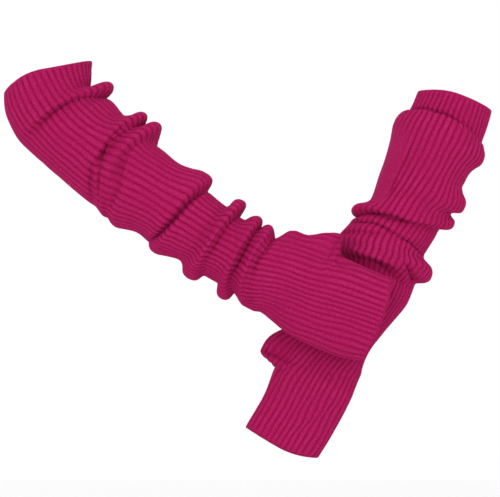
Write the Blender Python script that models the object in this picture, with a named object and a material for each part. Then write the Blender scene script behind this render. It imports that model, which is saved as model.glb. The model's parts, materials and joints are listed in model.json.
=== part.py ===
"""Pair of rib-knit arm warmers, worn pushed up in folds with one wrist crossed over the other."""
import math
from collections import namedtuple

import bpy
import numpy as np

# Driving dimensions, in metres
WALL = 0.0016              # knitted wall, measured under the ribs
RIB_HEIGHT = 0.0009        # from the bottom of a groove to the top of a rib
RIBS = 42                  # ribs round each sleeve
SEAM_GAP = 0.0003          # clear gap between two stretches of one sleeve
THUMB_HALF_GAP = 0.0090    # half the width that the thumb opening is stretched to
PULL_REACH = math.radians(55)      # how far round the hand the opening moves the knit
BALL_REACH = math.radians(54)      # how far round the hand the ball of the thumb swells it
GATHER = 0.50                      # how far the ribs beside the opening close up at its web end
GATHER_BEFORE = 0.5                # how soon they do so, in lengths of the slit
GATHER_AFTER = 1.4                 # how soon they spread again, in lengths of the slit

POINTS_PER_RIB = 2         # a groove point and a crest point
RIBS_PER_INNER_STEP = 2    # the plain inside has one point for every two ribs
PROBE = 1e-4               # small step that directions are measured with

KNIT_COLOUR = (0.40, 0.0105, 0.098, 1.0)   # deep raspberry, linear
KNIT_ROUGHNESS = 0.85

# A place on the line through the middle of the arm; the first one lies above the arm opening,
# and distances along the sleeve count from the second.
Middle = namedtuple("Middle", "x y z")

# A line round the sleeve: how far along it crosses the thumb side, the back of the hand and the
# little-finger side, how far it stands from the middle there and on the palm side, how far the
# ball of the thumb swells it, and the number of mesh rows from it to the next line.
Line = namedtuple("Line", "name thumb_at back_at little_at thumb back little palm ball rows")

# A sleeve: the side that the thumb is on (+1 or -1), its middle, its lines and its stretches.
Sleeve = namedtuple("Sleeve", "thumb_sign middle lines stretches")

RIGHT_SLEEVE = Sleeve(
    thumb_sign=1,
    middle=(
        Middle(-0.0035, 0.0000, 0.0229),
        Middle(0.0000, 0.0000, 0.0000),
        Middle(0.0062, -0.0010, -0.0220),
        Middle(0.0185, -0.0020, -0.0414),
        Middle(0.0396, -0.0040, -0.0607),
        Middle(0.0818, -0.0070, -0.0942),
        Middle(0.1250, -0.0110, -0.1302),
        Middle(0.1698, -0.0160, -0.1575),
        Middle(0.2006, -0.0195, -0.1734),
        Middle(0.2376, -0.0235, -0.1927),
        Middle(0.2728, -0.0255, -0.2068),
        Middle(0.2895, -0.0260, -0.2130),
    ),
    lines=(
        Line("arm edge", -0.008, -0.005, 0.006, 0.0400, 0.0390, 0.0400, 0.0390, 0.0000, 1),
        Line("arm", 0.008, 0.009, 0.020, 0.0365, 0.0385, 0.0430, 0.0385, 0.0000, 1),
        Line("roll 1 foot", 0.023, 0.020, 0.028, 0.0335, 0.0385, 0.0430, 0.0385, 0.0000, 2),
        Line("roll 1", 0.038, 0.0285, 0.035, 0.0475, 0.0420, 0.0425, 0.0450, 0.0000, 2),
        Line("crease 1", 0.048, 0.0335, 0.043, 0.0375, 0.0360, 0.0405, 0.0365, 0.0000, 1),
        Line("panel 1", 0.062, 0.050, 0.055, 0.0405, 0.0385, 0.0385, 0.0380, 0.0000, 1),
        Line("roll 2 foot", 0.077, 0.066, 0.070, 0.0380, 0.0385, 0.0385, 0.0380, 0.0000, 2),
        Line("roll 2", 0.092, 0.0835, 0.100, 0.0490, 0.0415, 0.0390, 0.0445, 0.0000, 1),
        Line("crease 2", 0.098, 0.0885, 0.108, 0.0410, 0.0355, 0.0385, 0.0370, 0.0000, 1),
        Line("roll 3", 0.108, 0.0985, 0.119, 0.0500, 0.0415, 0.0410, 0.0450, 0.0000, 2),
        Line("crease 3", 0.114, 0.1095, 0.124, 0.0365, 0.0365, 0.0400, 0.0365, 0.0000, 1),
        Line("forearm seam", 0.126, 0.123, 0.133, 0.0350, 0.0380, 0.0420, 0.0375, 0.0000, 1),
        Line("forearm", 0.143, 0.146, 0.152, 0.0355, 0.0355, 0.0335, 0.0355, 0.0000, 2),
        Line("roll 4", 0.171, 0.1665, 0.162, 0.0450, 0.0385, 0.0325, 0.0420, 0.0000, 2),
        Line("crease 4", 0.177, 0.1735, 0.167, 0.0330, 0.0320, 0.0325, 0.0330, 0.0000, 1),
        Line("ridge 4", 0.184, 0.1795, 0.173, 0.0325, 0.0360, 0.0370, 0.0355, 0.0000, 2),
        Line("valley 5", 0.203, 0.2030, 0.194, 0.0310, 0.0305, 0.0290, 0.0310, 0.0000, 1),
        Line("roll 5", 0.213, 0.211, 0.208, 0.0420, 0.0355, 0.0385, 0.0390, 0.0000, 1),
        Line("crease 5", 0.218, 0.2165, 0.219, 0.0290, 0.0290, 0.0290, 0.0295, 0.0000, 1),
        Line("roll 6 foot", 0.224, 0.224, 0.231, 0.0290, 0.0300, 0.0290, 0.0300, 0.0000, 1),
        Line("roll 6", 0.234, 0.2345, 0.240, 0.0365, 0.0330, 0.0395, 0.0350, 0.0000, 1),
        Line("crease 6", 0.2400, 0.2405, 0.247, 0.0280, 0.0270, 0.0300, 0.0275, 0.0000, 1),
        Line("roll 7", 0.248, 0.2480, 0.259, 0.0345, 0.0315, 0.0360, 0.0320, 0.0000, 1),
        Line("wrist seam", 0.257, 0.2545, 0.268, 0.0275, 0.0275, 0.0360, 0.0250, 0.0000, 1),
        Line("hand foot", 0.267, 0.266, 0.276, 0.0340, 0.0265, 0.0340, 0.0220, 0.0060, 1),
        Line("thumb root", 0.281, 0.281, 0.288, 0.0360, 0.0235, 0.0360, 0.0200, 0.0075, 1),
        Line("thumb ball", 0.294, 0.293, 0.297, 0.0380, 0.0205, 0.0380, 0.0195, 0.0150, 1),
        Line("thumb top", 0.307, 0.304, 0.306, 0.0390, 0.0190, 0.0395, 0.0185, 0.0185, 4),
        Line("thumb web", 0.319, 0.318, 0.317, 0.0400, 0.0200, 0.0400, 0.0190, 0.0000, 1),
        Line("knuckles", 0.343, 0.343, 0.343, 0.0390, 0.0185, 0.0410, 0.0180, 0.0000, 2),
        Line("finger edge", 0.369, 0.3725, 0.370, 0.0380, 0.0175, 0.0365, 0.0175, 0.0000, 0),
    ),
    stretches={
        "right_upper_sleeve": ("arm edge", "panel 1"),
        "right_elbow_sleeve": ("panel 1", "forearm seam"),
        "right_forearm_sleeve": ("forearm seam", "valley 5"),
        "right_wrist_sleeve": ("valley 5", "wrist seam"),
        "right_hand_sleeve": ("wrist seam", "finger edge"),
    },
)

LEFT_SLEEVE = Sleeve(
    thumb_sign=-1,
    middle=(
        Middle(0.3634, 0.0120, -0.0053),
        Middle(0.3573, 0.0120, -0.0220),
        Middle(0.3423, 0.0135, -0.0581),
        Middle(0.3300, 0.0150, -0.0906),
        Middle(0.3133, 0.0175, -0.1214),
        Middle(0.2992, 0.0190, -0.1452),
        Middle(0.2886, 0.0195, -0.1751),
        Middle(0.2772, 0.0190, -0.1980),
        Middle(0.2596, 0.0165, -0.2209),
        Middle(0.2438, 0.0140, -0.2438),
        Middle(0.2323, 0.0115, -0.2710),
        Middle(0.2191, 0.0100, -0.2974),
        Middle(0.2059, 0.0090, -0.3194),
    ),
    lines=(
        Line("arm edge", 0.001, -0.007, -0.005, 0.0320, 0.0310, 0.0335, 0.0310, 0.0000, 1),
        Line("cuff", 0.012, 0.006, 0.010, 0.0320, 0.0315, 0.0350, 0.0315, 0.0000, 1),
        Line("cuff tuck", 0.0220, 0.0165, 0.0225, 0.0335, 0.0315, 0.0360, 0.0320, 0.0000, 1),
        Line("overlap edge", 0.0240, 0.0140, 0.0245, 0.0375, 0.0355, 0.0385, 0.0355, 0.0000, 1),
        Line("overlap", 0.0350, 0.0290, 0.0370, 0.0410, 0.0390, 0.0435, 0.0400, 0.0000, 1),
        Line("panel 1", 0.050, 0.046, 0.053, 0.0385, 0.0395, 0.0360, 0.0385, 0.0000, 1),
        Line("forearm seam", 0.072, 0.066, 0.065, 0.0370, 0.0380, 0.0345, 0.0360, 0.0000, 2),
        Line("lobe 1", 0.088, 0.082, 0.079, 0.0355, 0.0370, 0.0435, 0.0400, 0.0000, 2),
        Line("notch 2", 0.111, 0.0920, 0.087, 0.0315, 0.0360, 0.0350, 0.0345, 0.0000, 1),
        Line("lip 2", 0.126, 0.1065, 0.095, 0.0405, 0.0380, 0.0425, 0.0390, 0.0000, 2),
        Line("crease 2", 0.130, 0.1110, 0.101, 0.0340, 0.0320, 0.0335, 0.0320, 0.0000, 1),
        Line("roll 3", 0.1335, 0.1215, 0.112, 0.0360, 0.0350, 0.0330, 0.0345, 0.0000, 1),
        Line("crease 3", 0.137, 0.1265, 0.124, 0.0370, 0.0330, 0.0330, 0.0330, 0.0000, 2),
        Line("swell 4", 0.146, 0.1390, 0.134, 0.0415, 0.0360, 0.0345, 0.0360, 0.0000, 2),
        Line("roll 4", 0.1545, 0.1510, 0.156, 0.0390, 0.0385, 0.0460, 0.0410, 0.0000, 2),
        Line("crease 4", 0.160, 0.1575, 0.165, 0.0315, 0.0305, 0.0350, 0.0310, 0.0000, 2),
        Line("wrist top", 0.176, 0.172, 0.176, 0.0290, 0.0295, 0.0350, 0.0280, 0.0000, 1),
        Line("wrist seam", 0.205, 0.203, 0.203, 0.0270, 0.0230, 0.0300, 0.0225, 0.0000, 1),
        Line("hand foot", 0.228, 0.226, 0.226, 0.0290, 0.0205, 0.0305, 0.0200, 0.0020, 1),
        Line("thumb root", 0.247, 0.244, 0.243, 0.0320, 0.0200, 0.0340, 0.0190, 0.0080, 1),
        Line("thumb ball", 0.257, 0.254, 0.253, 0.0340, 0.0190, 0.0360, 0.0185, 0.0165, 1),
        Line("thumb top", 0.266, 0.264, 0.263, 0.0350, 0.0180, 0.0360, 0.0175, 0.0180, 4),
        Line("thumb web", 0.280, 0.278, 0.277, 0.0360, 0.0195, 0.0360, 0.0185, 0.0000, 1),
        Line("knuckles", 0.305, 0.305, 0.305, 0.0335, 0.0180, 0.0350, 0.0175, 0.0000, 2),
        Line("finger edge", 0.341, 0.342, 0.332, 0.0330, 0.0175, 0.0345, 0.0170, 0.0000, 0),
    ),
    stretches={
        "left_upper_sleeve": ("arm edge", "forearm seam"),
        "left_forearm_sleeve": ("forearm seam", "crease 3"),
        "left_wrist_sleeve": ("crease 3", "wrist seam"),
        "left_hand_sleeve": ("wrist seam", "finger edge"),
    },
)


def smooth_through(knots, rows, places):
    """Smooth curve through rows of values; each slope is the mean of its two steps, nearest first."""
    gaps = np.diff(knots)
    steps = np.diff(rows, axis=0) / gaps[:, None]
    slopes = np.empty_like(rows)
    slopes[0] = steps[0]
    slopes[-1] = steps[-1]
    shared = (steps[:-1] * gaps[1:, None] + steps[1:] * gaps[:-1, None])
    slopes[1:-1] = shared / (gaps[:-1] + gaps[1:])[:, None]
    index = np.clip(np.searchsorted(knots, places, side="right") - 1, 0, len(gaps) - 1)
    gap = gaps[index][..., None]
    part = (places - knots[index])[..., None] / gap
    start = rows[index] * (1 + 2 * part) * (1 - part) ** 2
    end = rows[index + 1] * part ** 2 * (3 - 2 * part)
    bend = slopes[index] * part * (1 - part) ** 2 - slopes[index + 1] * part ** 2 * (1 - part)
    return start + end + gap * bend


def middle_frame(sleeve, along):
    """Point on the middle of the arm, with the directions to the thumb side and to the back of the hand."""
    points = np.array(sleeve.middle)
    lengths = np.concatenate([[0.0], np.cumsum(np.linalg.norm(np.diff(points, axis=0), axis=1))])
    knots = lengths - lengths[1]
    centre = smooth_through(knots, points, along)
    ahead = smooth_through(knots, points, along + PROBE) - smooth_through(knots, points, along - PROBE)
    ahead /= np.linalg.norm(ahead, axis=-1, keepdims=True)
    thumb = np.cross(ahead, (0.0, sleeve.thumb_sign, 0.0))
    thumb /= np.linalg.norm(thumb, axis=-1, keepdims=True)
    back = np.cross(ahead, thumb) * sleeve.thumb_sign
    return centre, thumb, back


def line_values(sleeve):
    """The lines as rows of numbers, with the palm side's distance along worked out from the others."""
    lines = sleeve.lines
    palm_at = [0.75 * (line.thumb_at + line.little_at) - 0.5 * line.back_at for line in lines]
    along = np.column_stack([[line.thumb_at for line in lines], [line.back_at for line in lines],
                             [line.little_at for line in lines], palm_at])
    reach = np.array([(line.thumb, line.back, line.little, line.palm, line.ball) for line in lines])
    return np.hstack([along, reach])


def line_knots(values):
    """One knot for each line; the gaps grow with the square root of the way between two lines."""
    steps = np.diff(values, axis=0)
    way = np.hypot(steps[:, :4], steps[:, 4:8]).mean(axis=1)
    return np.concatenate([[0.0], np.cumsum(np.sqrt(way))])


def side_shares(angle):
    """Shares of the thumb side, back, little-finger side and palm side at an angle; they add up to one."""
    cosine = np.cos(angle)
    sine = np.sin(angle)
    parts = [np.maximum(cosine, 0), np.maximum(sine, 0), np.maximum(-cosine, 0), np.maximum(-sine, 0)]
    return np.stack(parts, axis=-1) ** 2


def opening_pull(sleeve, knots, place, away, deep):
    """Angle by which the thumb opening moves the knit, and the angle of the opening's own edge.

    The edge is pushed round from the thumb side in a half wave along the slit. The ribs beside
    it close up towards the web end of the slit and spread again beyond it.
    """
    names = [line.name for line in sleeve.lines]
    top = knots[names.index("thumb top")]
    web = knots[names.index("thumb web")]
    part = (place - top) / (web - top)
    edge = np.arcsin(THUMB_HALF_GAP / (deep / 2)) * np.sin(math.pi * np.clip(part, 0, 1))
    length = np.where(part < 1, GATHER_BEFORE, GATHER_AFTER)
    gather = GATHER * np.exp(-((part - 1) / length) ** 2)
    return (edge - gather * away) * np.clip(1 - away / PULL_REACH, 0, 1), edge


def sleeve_surface(sleeve, place, turn):
    """Face of the sleeve under its ribs: four quarter ellipses round the middle, smooth along the lines.

    turn runs evenly round the cloth from the thumb side over the back of the hand, and the
    angle follows it so that equal turns are equal widths of cloth on a flat hand too. The
    ball of the thumb swells the thumb side alone, in a half wave. The thumb side is widened in
    the rows of the opening, so that its edge stays as far out as the line says.
    """
    values = line_values(sleeve)
    knots = line_knots(values)
    here = smooth_through(knots, values, place)
    wide = here[..., 4] + here[..., 6]
    deep = here[..., 5] + here[..., 7]
    angle = turn + (wide - deep) / (2 * (wide + deep)) * np.sin(2 * turn)
    away = math.pi - np.abs(angle - math.pi)
    swell = here[..., 8] * (1 + np.cos(math.pi * np.clip(away / BALL_REACH, 0, 1))) / 2
    pull, cut = opening_pull(sleeve, knots, place, away, deep)
    angle = math.pi + np.sign(angle - math.pi) * (math.pi - away - pull)
    shares = side_shares(angle)
    along = (here[..., :4] * shares).sum(axis=-1)
    thumb_reach = (here[..., 4] + swell) / np.cos(cut)
    sideways = np.where(np.cos(angle) > 0, thumb_reach, here[..., 6]) * np.cos(angle)
    outwards = np.where(np.sin(angle) > 0, here[..., 5], here[..., 7]) * np.sin(angle)
    centre, thumb, back = middle_frame(sleeve, along)
    return centre + thumb * sideways[..., None] + back * outwards[..., None]


def surface_directions(sleeve, place, turn):
    """Outward and lengthwise unit directions of the sleeve's face, from small steps round and along it."""
    round_step = (sleeve_surface(sleeve, place, turn + PROBE)
                  - sleeve_surface(sleeve, place, turn - PROBE))
    long_step = (sleeve_surface(sleeve, place + PROBE, turn)
                 - sleeve_surface(sleeve, place - PROBE, turn))
    outward = np.cross(round_step, long_step) * sleeve.thumb_sign
    outward /= np.linalg.norm(outward, axis=-1, keepdims=True)
    long_step /= np.linalg.norm(long_step, axis=-1, keepdims=True)
    return outward, long_step


def stretch_rows(sleeve, first, last):
    """Places of a stretch's mesh rows, and which of them lie inside the thumb opening."""
    knots = line_knots(line_values(sleeve))
    names = [line.name for line in sleeve.lines]
    places = []
    is_open = []
    for number in range(names.index(first), names.index(last)):
        line = sleeve.lines[number]
        for row in range(line.rows):
            places.append(knots[number] + (knots[number + 1] - knots[number]) * row / line.rows)
            is_open.append(line.name == "thumb top" and row > 0)
    places.append(knots[names.index(last)])
    is_open.append(False)
    return np.array(places), np.array(is_open)


def wall_points(sleeve, places, columns, lift, seams):
    """Grid of wall points lifted off the sleeve's face, its end rows drawn back from the seams."""
    turn = np.linspace(0, 2 * math.pi, columns + 1)[None, :]
    place = np.repeat(places[:, None], columns + 1, axis=1)
    points = sleeve_surface(sleeve, place, turn)
    outward, lengthwise = surface_directions(sleeve, place, turn)
    points = points + outward * lift
    points[0] += lengthwise[0] * seams[0] * SEAM_GAP / 2
    points[-1] -= lengthwise[-1] * seams[1] * SEAM_GAP / 2
    return points


def grid_numbers(rows, columns, is_open, start):
    """Point numbers of a grid that closes round on its first column, except in the thumb opening."""
    numbers = start + np.arange(rows * columns).reshape(rows, columns)
    closing = numbers[:, 0].copy()
    closing[is_open] = start + rows * columns + np.arange(is_open.sum())
    return np.column_stack([numbers, closing])


def grid_points(points, is_open):
    """The grid's points in the order of their numbers: whole rows, then the opening's second edge."""
    return np.vstack([points[:, :-1].reshape(-1, 3), points[is_open, -1]])


def grid_faces(numbers):
    """One four-sided face for each cell of a grid, seen from outside."""
    cells = np.stack([numbers[:-1, :-1], numbers[:-1, 1:], numbers[1:, 1:], numbers[1:, :-1]], axis=-1)
    return cells.reshape(-1, 4).tolist()


def rim_faces(outer_row, inner_row):
    """Flat rim between an outer row and the sparser inner row, as three-sided faces facing backwards."""
    step = (len(outer_row) - 1) // (len(inner_row) - 1)
    faces = []
    for number in range(len(inner_row) - 1):
        near, far = inner_row[number], inner_row[number + 1]
        fan = outer_row[number * step:(number + 1) * step + 1]
        middle = step // 2
        faces += [(fan[k + 1], fan[k], near) for k in range(middle)]
        faces.append((fan[middle], near, far))
        faces += [(fan[k + 1], fan[k], far) for k in range(middle, step)]
    return faces


def opening_faces(outer, inner, is_open):
    """Rim of the thumb opening: its edge on the back of the hand and its edge on the palm."""
    inside = np.flatnonzero(is_open)
    if len(inside) == 0:
        return []
    faces = []
    for row in range(inside[0] - 1, inside[-1] + 1):
        faces.append((outer[row, 0], outer[row + 1, 0], inner[row + 1, 0], inner[row, 0]))
        faces.append((outer[row + 1, -1], outer[row, -1], inner[row, -1], inner[row + 1, -1]))
    return faces


def stretch_mesh(name, sleeve, first, last):
    """Closed wall of one stretch of a sleeve: ribbed outside, plain inside, joined by its rims."""
    places, is_open = stretch_rows(sleeve, first, last)
    seams = (first != "arm edge", last != "finger edge")
    outer_columns = RIBS * POINTS_PER_RIB
    inner_columns = RIBS // RIBS_PER_INNER_STEP
    ribs = RIB_HEIGHT / 2 * (1 - np.cos(math.pi * np.arange(outer_columns + 1)))
    outer_points = wall_points(sleeve, places, outer_columns, ribs[None, :, None], seams)
    inner_points = wall_points(sleeve, places, inner_columns, -WALL, seams)
    rows = len(places)
    outer = grid_numbers(rows, outer_columns, is_open, 0)
    outer_points = grid_points(outer_points, is_open)
    inner = grid_numbers(rows, inner_columns, is_open, len(outer_points))
    points = np.vstack([outer_points, grid_points(inner_points, is_open)])
    faces = grid_faces(outer)
    faces += [face[::-1] for face in grid_faces(inner)]
    faces += rim_faces(outer[0], inner[0])
    faces += [face[::-1] for face in rim_faces(outer[-1], inner[-1])]
    faces += opening_faces(outer, inner, is_open)
    if sleeve.thumb_sign < 0:
        faces = [face[::-1] for face in faces]
    mesh = bpy.data.meshes.new(name)
    mesh.from_pydata(points.tolist(), [], [[int(corner) for corner in face] for face in faces])
    mesh.shade_smooth()
    mesh.set_sharp_from_angle(angle=math.radians(60))
    return mesh


def knit_material(name):
    """Matt rib knit in deep raspberry."""
    material = bpy.data.materials.new(name)
    material.use_nodes = True
    shader = material.node_tree.nodes["Principled BSDF"]
    shader.inputs["Base Color"].default_value = KNIT_COLOUR
    shader.inputs["Roughness"].default_value = KNIT_ROUGHNESS
    shader.inputs["Metallic"].default_value = 0.0
    material.diffuse_color = KNIT_COLOUR
    return material


def add_sleeve(collection, parent, sleeve):
    """One object for each stretch of a sleeve."""
    for name, (first, last) in sleeve.stretches.items():
        mesh = stretch_mesh(name, sleeve, first, last)
        mesh.materials.append(knit_material(f"rib knit {name}"))
        stretch = bpy.data.objects.new(name, mesh)
        stretch.parent = parent
        collection.objects.link(stretch)


def main():
    """Empty the file of objects and build both sleeves."""
    for old in list(bpy.data.objects):
        bpy.data.objects.remove(old, do_unlink=True)
    collection = bpy.data.collections.new("Rib-knit arm warmers")
    bpy.context.scene.collection.children.link(collection)
    held_at = bpy.data.objects.new("held_at_right_arm", None)
    held_at.empty_display_size = 0.03
    collection.objects.link(held_at)
    for sleeve in (RIGHT_SLEEVE, LEFT_SLEEVE):
        add_sleeve(collection, held_at, sleeve)


main()
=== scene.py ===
"""Looks of a pair of rib-knit arm warmers, pushed up in folds, one laid across the other."""
import json
import math
from collections import namedtuple

import bpy
import numpy as np
from bpy.props import FloatProperty, FloatVectorProperty, IntProperty, PointerProperty
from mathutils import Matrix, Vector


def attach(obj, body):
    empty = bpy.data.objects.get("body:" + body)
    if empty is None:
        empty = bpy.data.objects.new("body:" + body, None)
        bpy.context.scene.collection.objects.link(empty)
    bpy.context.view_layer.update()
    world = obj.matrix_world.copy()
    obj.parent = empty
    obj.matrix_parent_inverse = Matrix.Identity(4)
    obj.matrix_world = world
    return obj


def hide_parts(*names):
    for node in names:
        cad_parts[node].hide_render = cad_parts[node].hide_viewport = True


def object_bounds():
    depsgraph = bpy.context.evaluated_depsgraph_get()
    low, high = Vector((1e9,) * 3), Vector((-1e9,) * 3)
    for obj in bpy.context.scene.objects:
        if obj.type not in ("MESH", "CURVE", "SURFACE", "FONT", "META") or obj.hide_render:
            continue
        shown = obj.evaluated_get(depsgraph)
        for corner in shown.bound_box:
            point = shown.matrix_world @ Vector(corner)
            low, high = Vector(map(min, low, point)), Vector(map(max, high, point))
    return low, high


bl_info = {
    "name": "Rib-knit arm warmers",
    "version": (1, 0, 0),
    "blender": (4, 5, 0),
    "location": "3D View > Sidebar > Arm warmers",
    "description": "Knits a pair of arm warmers over their fixed frame and sets the studio",
    "category": "Object",
}

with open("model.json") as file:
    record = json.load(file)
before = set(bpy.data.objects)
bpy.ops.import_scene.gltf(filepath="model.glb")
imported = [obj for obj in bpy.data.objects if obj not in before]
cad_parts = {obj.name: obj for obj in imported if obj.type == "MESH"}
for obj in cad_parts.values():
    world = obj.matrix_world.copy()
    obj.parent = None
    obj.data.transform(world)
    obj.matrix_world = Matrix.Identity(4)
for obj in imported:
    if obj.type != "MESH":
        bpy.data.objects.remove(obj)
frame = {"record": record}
CAD_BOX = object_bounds()
RECORD_COLOUR = tuple(frame["record"]["materials"][0]["base_color"])

MM = 0.001                  # the tables below are in millimetres

PHOTO_WIDTH_PX = 500
PHOTO_HEIGHT_PX = 497
PHOTO_SCALE = 0.00088       # metres for one pixel of the photograph, in the plane of the pair
PHOTO_ORIGIN_PX = (48, 78)  # the pixel that shows the origin
CAMERA_DISTANCE = 2.6       # metres
SENSOR_WIDTH = 36.0         # millimetres

# The ribs
RIBS = 42                   # ribs round each sleeve
WALES_PER_RIB = 2.0         # columns of knit stitches on one rib
RIB_STEPS = (0.0, 0.2, 0.4, 0.6, 0.8)         # mesh columns across one rib, from its groove
RIB_RISE = (0.0, 0.66, 0.98, 0.98, 0.66)      # height of the rib at those columns
EVEN_RISE = 0.80            # height of the plain parts and of the ends, as a share of a rib
INNER_RISE = 0.5            # rib height that sets the painted groove shade on the inside: half as dark as a groove
EDGE_RISE = 0.9             # rib height that sets the painted groove shade on the bound edges: almost none
END_FADE = 0.0030           # length of cloth over which the ribs fade in at the ends
PLAIN_FADE_ROUND = 0.12     # radians over which they fade out at the sides of a plain part
PLAIN_FADE_START = 0.010    # and metres along the sleeve, at its start
PLAIN_FADE_END = 0.006      # and at its end

# The mesh
GATHERED_ROW_STEP = 0.0010  # length of cloth from one mesh row to the next, in the gathered part
SMOOTH_ROW_STEP = 0.0026    # in the smooth part from the wrist on
SLIT_ROW_STEP = 0.0006      # and along the thumb opening
ROWS_PER_INNER_ROW = 4      # the inside has one row for every four outside
COLUMNS_PER_INNER_STEP = 5  # and one column for every five
PROBE = 1e-4                # small step that directions are measured with

# The thumb opening
THUMB_HALF_GAP = 0.0090             # half the width that the thumb opening is stretched to
PULL_REACH = math.radians(55)       # how far round the sleeve the opening moves the knit
SWELL_REACH = math.radians(40)      # how far round the sleeve it swells above the opening
CUT_RIBS = 5                        # ribs on each side that end at the edge of the opening
CUT_SPREAD = 0.62                   # radians of cloth over which the ribs beside it lie closer
WIDEN_REACH = math.radians(45)      # how far round from its edge the opening widens the sleeve
SOFT_POWER = 1.5                    # power that softens the ends of the opening and of the spread
SLIT_TURNS = 200                    # turns at which the top of the slit is looked up

# The folded edges at the sides of a sleeve
LOBE_LENGTH = 0.014         # length of cloth over which the sides' reach is evened out
LOBE_SHARE = 0.25           # how far the folded edges swell along the sleeve, as a share of their height
LOBE_RADIUS = 0.0036        # length of cloth from the top of such an edge to its fullest part

# The folds
FOLD_RADIUS = 0.036         # metres of cloth for one radian of turn, in the widths of the folds
FOLD_STEPS = 4              # straight steps between two points of a fold's line
FOLD_FADE = 0.22            # share of a fold's length over which it fades at each end
FOLD_MARGIN = 0.01          # length of cloth beside a fold that is looked at as well
FOLD_PLACES = 1500          # places of the sleeve among which a fold's points are looked up

# How a fold on the hidden side differs from its fellow on the visible side: a mean and a sine of
# the fold's number, for its length round the sleeve, its shift along it and its strength. Its
# line wanders along the sleeve too, by a sine of the turn.
Varied = namedtuple("Varied", "mean amount rate start")
TWIN_LENGTH = Varied(0.94, 0.05, 2.3, math.pi / 2)
TWIN_SHIFT = Varied(0.0, 0.0022, 2.9, 0.7)
TWIN_STRENGTH = Varied(0.85, 0.25, 1.7, 0.0)
TWIN_WANDER = 0.0015
TWIN_WANDER_RATE = 1.6

# The bound-off edges
EDGE_POINTS_PER_STITCH = 6  # mesh points along the edge for each stitch
EDGE_POINTS_ROUND = 8       # and round it
EDGE_THICKNESS = 0.86       # mean thickness of the edge, as a share of its radius
EDGE_SWELL = 0.20           # how far each stitch swells it
THUMB_STITCH = 0.0017       # length of one stitch round the thumb opening

# The yarn, with painted shade in the grooves between the ribs and painted light and shade on its stitches.
# A tone is a shade that grows with a pattern: the pattern times the gain, plus the base.
Tone = namedtuple("Tone", "gain base")
STITCH_LEAN = 1.3           # how far the legs of a stitch lean, in stitches
STRIPES = Tone(0.40, 0.60)  # legs of the stitches
STITCH_SHADING = Tone(0.22, 0.83)    # painted light and shade on the stitches, darker between the legs
MOTTLE = Tone(0.24, 0.88)   # wide clouds
FLECK = Tone(0.74, 0.63)    # fuzz of the fibres
CLOUD_SCALE = 38.0          # noise scales, for each metre
FUZZ_SCALE = 820.0
GROOVE_POWER = 1.2          # how fast the painted shade grows towards the bottom of a groove
GROOVE_CLOUDY = 1.6         # part of the painted groove shade that follows the clouds
GROOVE_EVEN = 0.2           # part of the painted groove shade that is the same everywhere
MEAN_SHADE = 0.85           # mean of the shade of the yarn
SHADE_POWERS = (1.0, 3.4, 1.7)   # how steeply red, green and blue follow the shade
FIBRE_STRENGTH = 0.6        # share of their relief that the fibres show
FIBRE_RELIEF = 0.00012
ROUGHNESS = Tone(0.16, 0.80)
SPECULAR = 0.03
SHEEN = 0.08
SHEEN_ROUGHNESS = 0.35
SHEEN_TINT = (1.0, 0.22, 0.70, 1.0)

# The studio
KEY_PLACE = (-0.6, -2.1, 0.6)
KEY_SIZE = 1.8
FILL_PLACE = (1.6, -1.6, 0.4)
FILL_SIZE = 1.6
FILL_SHARE = 0.4            # power of the fill light, as a share of the key light's
FLOOR_COLOUR = (0.92, 0.92, 0.92)
FLOOR_ROUGHNESS = 0.8

# The wander of the ribs: waves round the sleeve, waves for each metre of cloth, where the wave
# starts, and how many radians it shifts the ribs.
Wander = namedtuple("Wander", "waves_round waves_along start amount")
WANDERS = (Wander(2, 15.0, 1.3, 0.022), Wander(5, -26.0, 0.4, 0.014), Wander(9, 43.0, 2.2, 0.008))

# A line round the sleeve, in millimetres: how far along it crosses the thumb side, the back and
# the little-finger side, how far it stands from the middle there and on the palm side, the
# degrees by which its ribs are turned away from the thumb side, all round (spin) and on the back
# and palm side alone (sway), and how far the thumb side swells above the opening.
Line = namedtuple("Line", "name thumb_at back_at little_at thumb back little palm spin sway swell",
                  defaults=(0,))

# A ridge (height above 0) or a crease (below 0): degrees round the cloth and millimetres along the
# sleeve of a few points on it, then in millimetres its height, half its width and how far it leans
# towards the finger edge, and the degrees by which it pushes the ribs away from the thumb side.
Fold = namedtuple("Fold", "name turns ats height width lean push", defaults=(0, 0))

# A part where the ribs are stretched flat: from and to in degrees round and in millimetres along.
Plain = namedtuple("Plain", "name turn_from turn_to at_from at_to")

# A sleeve: the side that its thumb opening is on (+1 or -1), the ribs by which the pattern has
# turned away from the thumb side at the opening, places x, y, z on the line through its middle in
# millimetres (distances along it count from the second), its lines, its folds on the visible
# side, the nodes it stands for and its plain parts.
Sleeve = namedtuple("Sleeve", "thumb_sign drift middle lines folds nodes plains", defaults=((),))

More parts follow.
